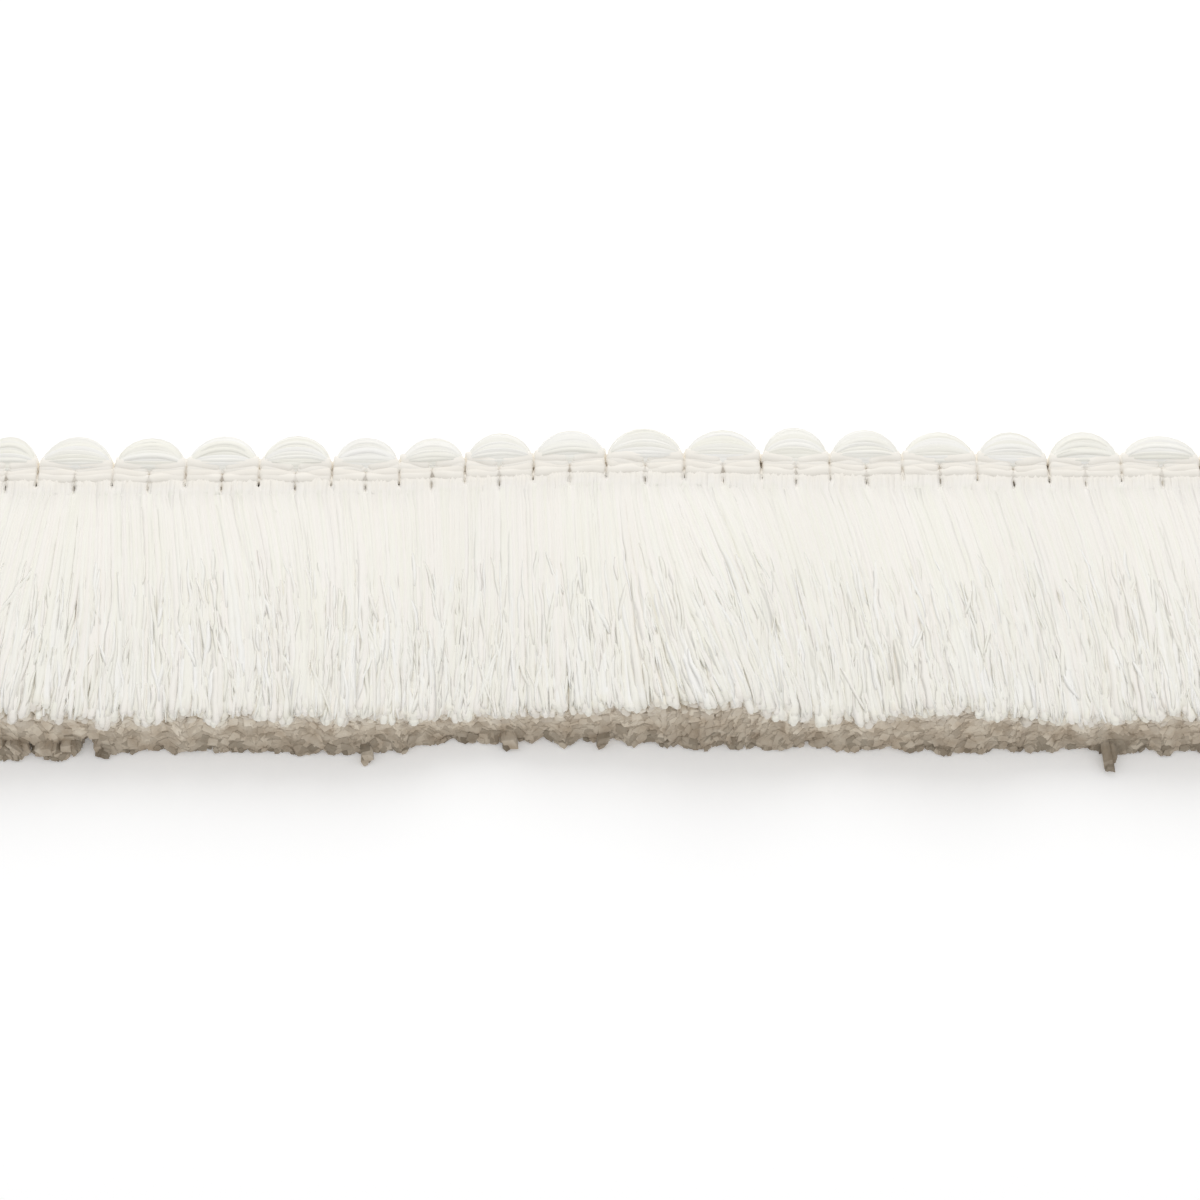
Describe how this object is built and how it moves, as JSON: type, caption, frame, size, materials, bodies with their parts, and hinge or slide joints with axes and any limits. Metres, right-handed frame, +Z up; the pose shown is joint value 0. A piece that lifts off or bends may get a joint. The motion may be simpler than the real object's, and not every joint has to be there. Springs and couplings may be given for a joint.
{
  "type": "brush fringe trim",
  "caption": "Cream brush fringe trim: a woven heading with a scalloped edge of yarn loops and a dense skirt of cut yarn, sewn along seams and edges.",
  "frame": {"origin": "middle of the heading's flat back, halfway along the cut length", "axes": "+X along the trim, +Y towards the looped edge, +Z up from the surface that the trim lies on"},
  "size_m": [0.149, 0.0399, 0.007],
  "materials": {
    "heading_yarn": "soft spun yarn, matte with a faint sheen, bound tightly in rows",
    "brush_yarn": "soft spun yarn, matte, combed straight and cut square at its ends"
  },
  "bodies": {
    "root": {"heading": "heading_yarn", "brush": "brush_yarn"}
  },
  "joints": []
}
